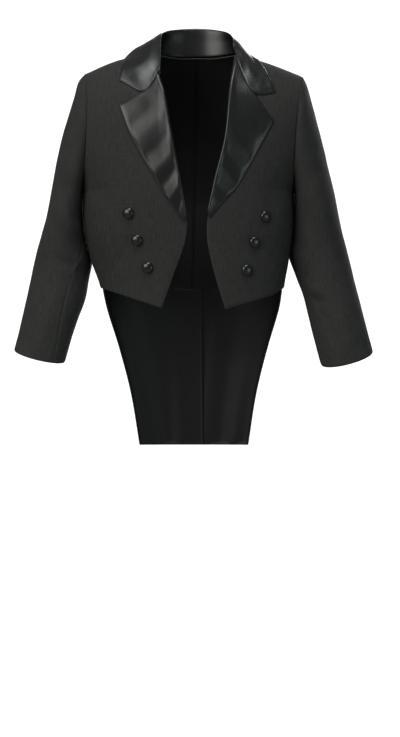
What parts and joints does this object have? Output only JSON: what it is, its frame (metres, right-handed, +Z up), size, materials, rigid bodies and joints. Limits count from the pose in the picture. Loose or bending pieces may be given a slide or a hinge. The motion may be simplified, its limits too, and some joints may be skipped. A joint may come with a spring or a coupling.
{
  "type": "tailcoat",
  "caption": "Child's white tie tailcoat, filled out as worn: cropped fronts with satin peaked lapels and covered buttons, two tails behind.",
  "frame": {"origin": "middle of the neck opening, level with the neck points where the shoulder seams meet the collar", "axes": "+Z up towards the neck, -Y out of the chest, +X towards the wearer's left side"},
  "size_m": [0.4653, 0.1715, 0.545],
  "materials": {
    "suiting": "matt black suiting with a fine upright weave",
    "satin": "black satin with a soft broad sheen",
    "covered_button": "black satin stretched over a domed button"
  },
  "bodies": {
    "root": {"front_left": "suiting", "side_body_left": "suiting", "back_left": "suiting", "tail_left": "suiting", "top_sleeve_left": "suiting", "under_sleeve_left": "suiting", "lapel_left": "satin", "button_left_1": "covered_button", "button_left_2": "covered_button", "button_left_3": "covered_button", "front_right": "suiting", "side_body_right": "suiting", "back_right": "suiting", "tail_right": "suiting", "top_sleeve_right": "suiting", "under_sleeve_right": "suiting", "lapel_right": "satin", "button_right_1": "covered_button", "button_right_2": "covered_button", "button_right_3": "covered_button", "collar": "satin"}
  },
  "joints": []
}
